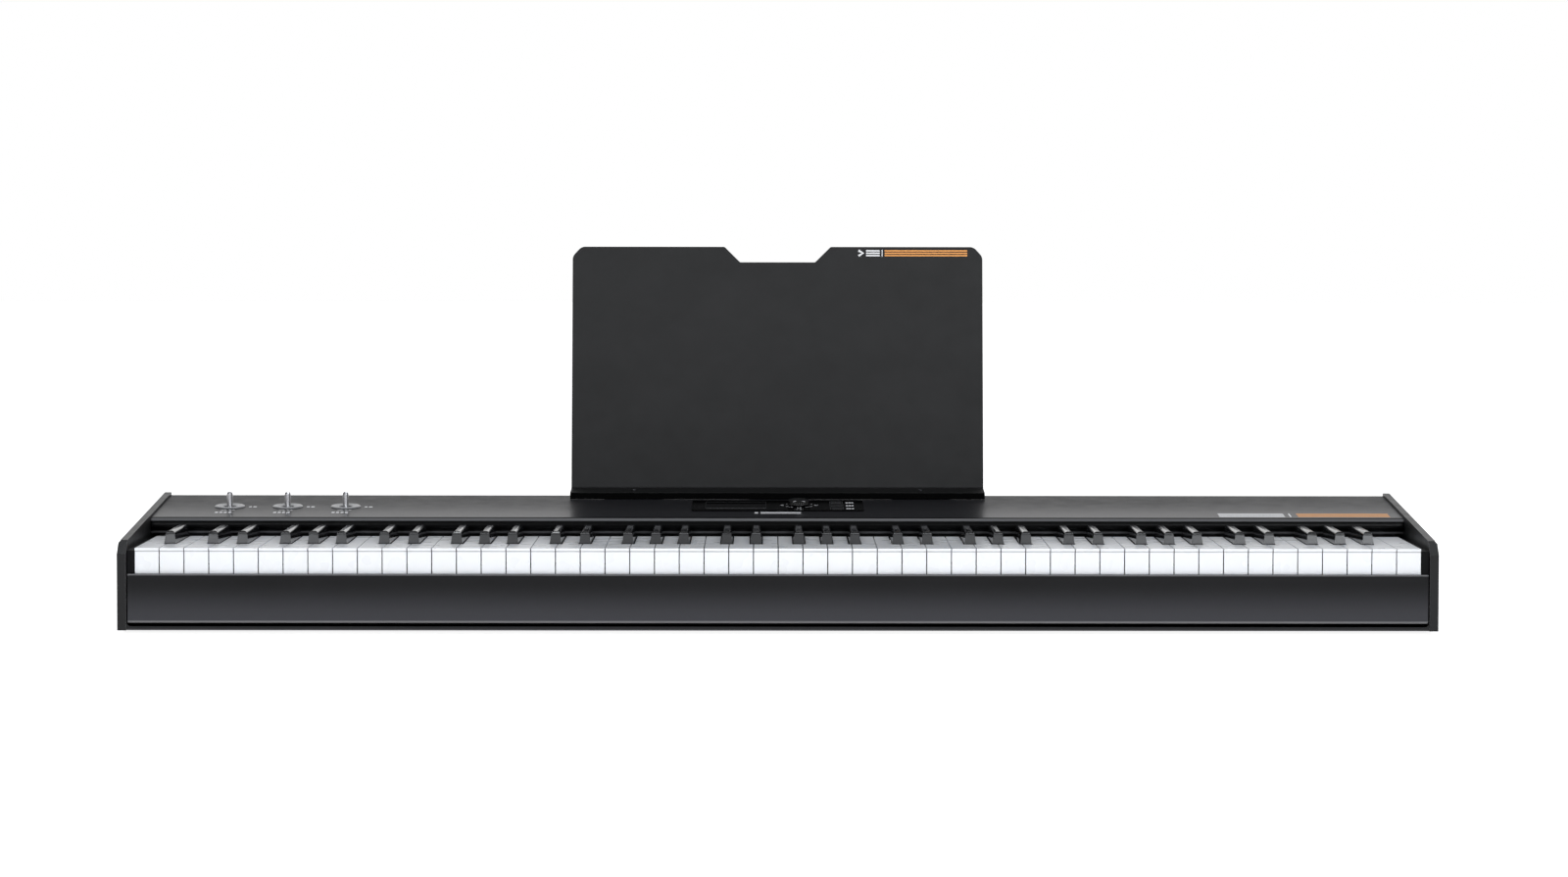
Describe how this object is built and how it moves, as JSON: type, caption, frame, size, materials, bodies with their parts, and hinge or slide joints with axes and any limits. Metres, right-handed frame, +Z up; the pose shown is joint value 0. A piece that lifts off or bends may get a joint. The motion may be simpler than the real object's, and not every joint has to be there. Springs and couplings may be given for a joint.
{
  "type": "stage piano with music stand",
  "caption": "Long black stage piano keyboard with weighted keys, joysticks, a small control module and a magnetic plate music stand.",
  "frame": {"origin": "bottom centre of the bounding box, on the table under the keyboard", "axes": "+X along the keys from low notes to high, +Y from the player to the rear, +Z up"},
  "size_m": [1.254, 0.3658, 0.3648],
  "materials": {
    "case_steel": "fine black powder coat, satin",
    "stand_steel": "fine black powder coat, satin",
    "cheek_plastic": "moulded, fine grain",
    "foot_rubber": "matte",
    "zinc_screw": "black zinc",
    "frame_plastic": "moulded",
    "bright_steel": "turned, satin",
    "felt": "pressed felt",
    "circuit_board": "solder mask",
    "socket_plastic": "moulded",
    "gloss_black": "high gloss",
    "display_glass": "smoked, polished",
    "button_plastic": "satin",
    "bezel_plastic": "satin",
    "magnet_iron": "nickel plated",
    "white_key": "semi-gloss white",
    "black_key": "semi-gloss black",
    "hammer_iron": "as pressed"
  },
  "bodies": {
    "case": {"bottom_tray": "case_steel", "front_panel": "case_steel", "top_panel": "case_steel", "rear_panel": "case_steel", "left_cheek": "cheek_plastic", "right_cheek": "cheek_plastic", "rubber_feet": "foot_rubber", "case_screws": "zinc_screw", "key_frame": "frame_plastic", "pivot_rods": "bright_steel", "felt_strips": "felt", "contact_board": "circuit_board", "main_board": "circuit_board", "dc_inlet": "socket_plastic", "data_sockets": "socket_plastic", "pedal_jacks": "socket_plastic", "switch_housing": "socket_plastic", "control_bezel": "gloss_black", "display_window": "display_glass", "control_board": "circuit_board", "stick_bezels": "bezel_plastic", "stick_housings": "frame_plastic"},
    "power_rocker": {"power_rocker": "gloss_black"},
    "encoder_bush": {"encoder_bush": "bright_steel"},
    "encoder_knob": {"encoder_knob": "gloss_black"},
    "button_1": {"button_1": "button_plastic"},
    "stick_yoke_1": {"stick_yoke_1": "bright_steel"},
    "stick_1": {"stick_1": "bright_steel"},
    "button_2": {"button_2": "button_plastic"},
    "stick_yoke_2": {"stick_yoke_2": "bright_steel"},
    "stick_2": {"stick_2": "bright_steel"},
    "button_3": {"button_3": "button_plastic"},
    "stick_yoke_3": {"stick_yoke_3": "bright_steel"},
    "stick_3": {"stick_3": "bright_steel"},
    "music_stand": {"stand_plate": "stand_steel", "stand_magnets": "magnet_iron"},
    "keys_c": {"keys_c": "white_key"},
    "keys_c_sharp": {"keys_c_sharp": "black_key"},
    "keys_d": {"keys_d": "white_key"},
    "keys_d_sharp": {"keys_d_sharp": "black_key"},
    "keys_e": {"keys_e": "white_key"},
    "keys_f": {"keys_f": "white_key"},
    "keys_f_sharp": {"keys_f_sharp": "black_key"},
    "keys_g": {"keys_g": "white_key"},
    "keys_g_sharp": {"keys_g_sharp": "black_key"},
    "keys_a": {"keys_a": "white_key"},
    "keys_a_sharp": {"keys_a_sharp": "black_key"},
    "keys_b": {"keys_b": "white_key"},
    "hammers_c": {"hammers_c": "hammer_iron"},
    "hammers_c_sharp": {"hammers_c_sharp": "hammer_iron"},
    "hammers_d": {"hammers_d": "hammer_iron"},
    "hammers_d_sharp": {"hammers_d_sharp": "hammer_iron"},
    "hammers_e": {"hammers_e": "hammer_iron"},
    "hammers_f": {"hammers_f": "hammer_iron"},
    "hammers_f_sharp": {"hammers_f_sharp": "hammer_iron"},
    "hammers_g": {"hammers_g": "hammer_iron"},
    "hammers_g_sharp": {"hammers_g_sharp": "hammer_iron"},
    "hammers_a": {"hammers_a": "hammer_iron"},
    "hammers_a_sharp": {"hammers_a_sharp": "hammer_iron"},
    "hammers_b": {"hammers_b": "hammer_iron"}
  },
  "joints": [
    {"name": "press_c", "type": "hinge", "parent": "case", "child": "keys_c", "pos_m": [0, 0.04608, 0.066], "axis": [1, 0, 0], "range_deg": [0, 2.55], "stiffness_Nm_per_rad": 4, "springref_deg": -14.32},
    {"name": "press_c_sharp", "type": "hinge", "parent": "case", "child": "keys_c_sharp", "pos_m": [0, 0.04608, 0.066], "axis": [1, 0, 0], "range_deg": [0, 2.55], "stiffness_Nm_per_rad": 4, "springref_deg": -14.32},
    {"name": "press_d", "type": "hinge", "parent": "case", "child": "keys_d", "pos_m": [0, 0.04608, 0.066], "axis": [1, 0, 0], "range_deg": [0, 2.55], "stiffness_Nm_per_rad": 4, "springref_deg": -14.32},
    {"name": "press_d_sharp", "type": "hinge", "parent": "case", "child": "keys_d_sharp", "pos_m": [0, 0.04608, 0.066], "axis": [1, 0, 0], "range_deg": [0, 2.55], "stiffness_Nm_per_rad": 4, "springref_deg": -14.32},
    {"name": "press_e", "type": "hinge", "parent": "case", "child": "keys_e", "pos_m": [0, 0.04608, 0.066], "axis": [1, 0, 0], "range_deg": [0, 2.55], "stiffness_Nm_per_rad": 4, "springref_deg": -14.32},
    {"name": "press_f", "type": "hinge", "parent": "case", "child": "keys_f", "pos_m": [0, 0.04608, 0.066], "axis": [1, 0, 0], "range_deg": [0, 2.55], "stiffness_Nm_per_rad": 4, "springref_deg": -14.32},
    {"name": "press_f_sharp", "type": "hinge", "parent": "case", "child": "keys_f_sharp", "pos_m": [0, 0.04608, 0.066], "axis": [1, 0, 0], "range_deg": [0, 2.55], "stiffness_Nm_per_rad": 4, "springref_deg": -14.32},
    {"name": "press_g", "type": "hinge", "parent": "case", "child": "keys_g", "pos_m": [0, 0.04608, 0.066], "axis": [1, 0, 0], "range_deg": [0, 2.55], "stiffness_Nm_per_rad": 4, "springref_deg": -14.32},
    {"name": "press_g_sharp", "type": "hinge", "parent": "case", "child": "keys_g_sharp", "pos_m": [0, 0.04608, 0.066], "axis": [1, 0, 0], "range_deg": [0, 2.55], "stiffness_Nm_per_rad": 4, "springref_deg": -14.32},
    {"name": "press_a", "type": "hinge", "parent": "case", "child": "keys_a", "pos_m": [0, 0.04608, 0.066], "axis": [1, 0, 0], "range_deg": [0, 2.55], "stiffness_Nm_per_rad": 4, "springref_deg": -14.32},
    {"name": "press_a_sharp", "type": "hinge", "parent": "case", "child": "keys_a_sharp", "pos_m": [0, 0.04608, 0.066], "axis": [1, 0, 0], "range_deg": [0, 2.55], "stiffness_Nm_per_rad": 4, "springref_deg": -14.32},
    {"name": "press_b", "type": "hinge", "parent": "case", "child": "keys_b", "pos_m": [0, 0.04608, 0.066], "axis": [1, 0, 0], "range_deg": [0, 2.55], "stiffness_Nm_per_rad": 4, "springref_deg": -14.32},
    {"name": "hammer_c", "type": "hinge", "parent": "case", "child": "hammers_c", "pos_m": [0, -0.08392, 0.034], "axis": [1, 0, 0], "range_deg": [0, 12.1]},
    {"name": "hammer_c_sharp", "type": "hinge", "parent": "case", "child": "hammers_c_sharp", "pos_m": [0, -0.08392, 0.034], "axis": [1, 0, 0], "range_deg": [0, 12.1]},
    {"name": "hammer_d", "type": "hinge", "parent": "case", "child": "hammers_d", "pos_m": [0, -0.08392, 0.034], "axis": [1, 0, 0], "range_deg": [0, 12.1]},
    {"name": "hammer_d_sharp", "type": "hinge", "parent": "case", "child": "hammers_d_sharp", "pos_m": [0, -0.08392, 0.034], "axis": [1, 0, 0], "range_deg": [0, 12.1]},
    {"name": "hammer_e", "type": "hinge", "parent": "case", "child": "hammers_e", "pos_m": [0, -0.08392, 0.034], "axis": [1, 0, 0], "range_deg": [0, 12.1]},
    {"name": "hammer_f", "type": "hinge", "parent": "case", "child": "hammers_f", "pos_m": [0, -0.08392, 0.034], "axis": [1, 0, 0], "range_deg": [0, 12.1]},
    {"name": "hammer_f_sharp", "type": "hinge", "parent": "case", "child": "hammers_f_sharp", "pos_m": [0, -0.08392, 0.034], "axis": [1, 0, 0], "range_deg": [0, 12.1]},
    {"name": "hammer_g", "type": "hinge", "parent": "case", "child": "hammers_g", "pos_m": [0, -0.08392, 0.034], "axis": [1, 0, 0], "range_deg": [0, 12.1]},
    {"name": "hammer_g_sharp", "type": "hinge", "parent": "case", "child": "hammers_g_sharp", "pos_m": [0, -0.08392, 0.034], "axis": [1, 0, 0], "range_deg": [0, 12.1]},
    {"name": "hammer_a", "type": "hinge", "parent": "case", "child": "hammers_a", "pos_m": [0, -0.08392, 0.034], "axis": [1, 0, 0], "range_deg": [0, 12.1]},
    {"name": "hammer_a_sharp", "type": "hinge", "parent": "case", "child": "hammers_a_sharp", "pos_m": [0, -0.08392, 0.034], "axis": [1, 0, 0], "range_deg": [0, 12.1]},
    {"name": "hammer_b", "type": "hinge", "parent": "case", "child": "hammers_b", "pos_m": [0, -0.08392, 0.034], "axis": [1, 0, 0], "range_deg": [0, 12.1]},
    {"name": "button_1_press", "type": "slide", "parent": "case", "child": "button_1", "axis": [0, 0.0811, -0.9967], "range_m": [0, 0.0008], "stiffness_N_per_m": 600, "springref_m": -0.0006},
    {"name": "button_2_press", "type": "slide", "parent": "case", "child": "button_2", "axis": [0, 0.0811, -0.9967], "range_m": [0, 0.0008], "stiffness_N_per_m": 600, "springref_m": -0.0006},
    {"name": "button_3_press", "type": "slide", "parent": "case", "child": "button_3", "axis": [0, 0.0811, -0.9967], "range_m": [0, 0.0008], "stiffness_N_per_m": 600, "springref_m": -0.0006},
    {"name": "encoder_press", "type": "slide", "parent": "case", "child": "encoder_bush", "axis": [0, 0.0811, -0.9967], "range_m": [0, 0.0006], "stiffness_N_per_m": 1500, "springref_m": -0.0006},
    {"name": "encoder_turn", "type": "hinge", "parent": "encoder_bush", "child": "encoder_knob", "pos_m": [0.0215, 0.06332, 0.1054], "axis": [0, -0.0811, 0.9967], "continuous": true},
    {"name": "stick_1_tilt_y", "type": "hinge", "parent": "case", "child": "stick_yoke_1", "pos_m": [-0.549, 0.05877, 0.09599], "axis": [1, 0, 0], "range_deg": [-12, 12], "stiffness_Nm_per_rad": 0.05},
    {"name": "stick_1_tilt_x", "type": "hinge", "parent": "stick_yoke_1", "child": "stick_1", "pos_m": [-0.549, 0.05877, 0.09599], "axis": [0, 0.9967, 0.0811], "range_deg": [-12, 12], "stiffness_Nm_per_rad": 0.05},
    {"name": "stick_2_tilt_y", "type": "hinge", "parent": "case", "child": "stick_yoke_2", "pos_m": [-0.491, 0.05877, 0.09599], "axis": [1, 0, 0], "range_deg": [-12, 12], "stiffness_Nm_per_rad": 0.05},
    {"name": "stick_2_tilt_x", "type": "hinge", "parent": "stick_yoke_2", "child": "stick_2", "pos_m": [-0.491, 0.05877, 0.09599], "axis": [0, 0.9967, 0.0811], "range_deg": [-12, 12], "stiffness_Nm_per_rad": 0.05},
    {"name": "stick_3_tilt_y", "type": "hinge", "parent": "case", "child": "stick_yoke_3", "pos_m": [-0.433, 0.05877, 0.09599], "axis": [1, 0, 0], "range_deg": [-12, 12], "stiffness_Nm_per_rad": 0.05},
    {"name": "stick_3_tilt_x", "type": "hinge", "parent": "stick_yoke_3", "child": "stick_3", "pos_m": [-0.433, 0.05877, 0.09599], "axis": [0, 0.9967, 0.0811], "range_deg": [-12, 12], "stiffness_Nm_per_rad": 0.05},
    {"name": "power_rock", "type": "hinge", "parent": "case", "child": "power_rocker", "pos_m": [-0.47, 0.13508, 0.026], "axis": [1, 0, 0], "range_deg": [-16, 0]},
    {"name": "stand_lift_off", "type": "slide", "parent": "case", "child": "music_stand", "axis": [0, -0.0811, 0.9967], "range_m": [0, 0.08]}
  ],
  "couplings": [
    {"joint": "hammer_c", "follows": "press_c", "ratio": 4.72},
    {"joint": "hammer_c_sharp", "follows": "press_c_sharp", "ratio": 4.72},
    {"joint": "hammer_d", "follows": "press_d", "ratio": 4.72},
    {"joint": "hammer_d_sharp", "follows": "press_d_sharp", "ratio": 4.72},
    {"joint": "hammer_e", "follows": "press_e", "ratio": 4.72},
    {"joint": "hammer_f", "follows": "press_f", "ratio": 4.72},
    {"joint": "hammer_f_sharp", "follows": "press_f_sharp", "ratio": 4.72},
    {"joint": "hammer_g", "follows": "press_g", "ratio": 4.72},
    {"joint": "hammer_g_sharp", "follows": "press_g_sharp", "ratio": 4.72},
    {"joint": "hammer_a", "follows": "press_a", "ratio": 4.72},
    {"joint": "hammer_a_sharp", "follows": "press_a_sharp", "ratio": 4.72},
    {"joint": "hammer_b", "follows": "press_b", "ratio": 4.72}
  ]
}
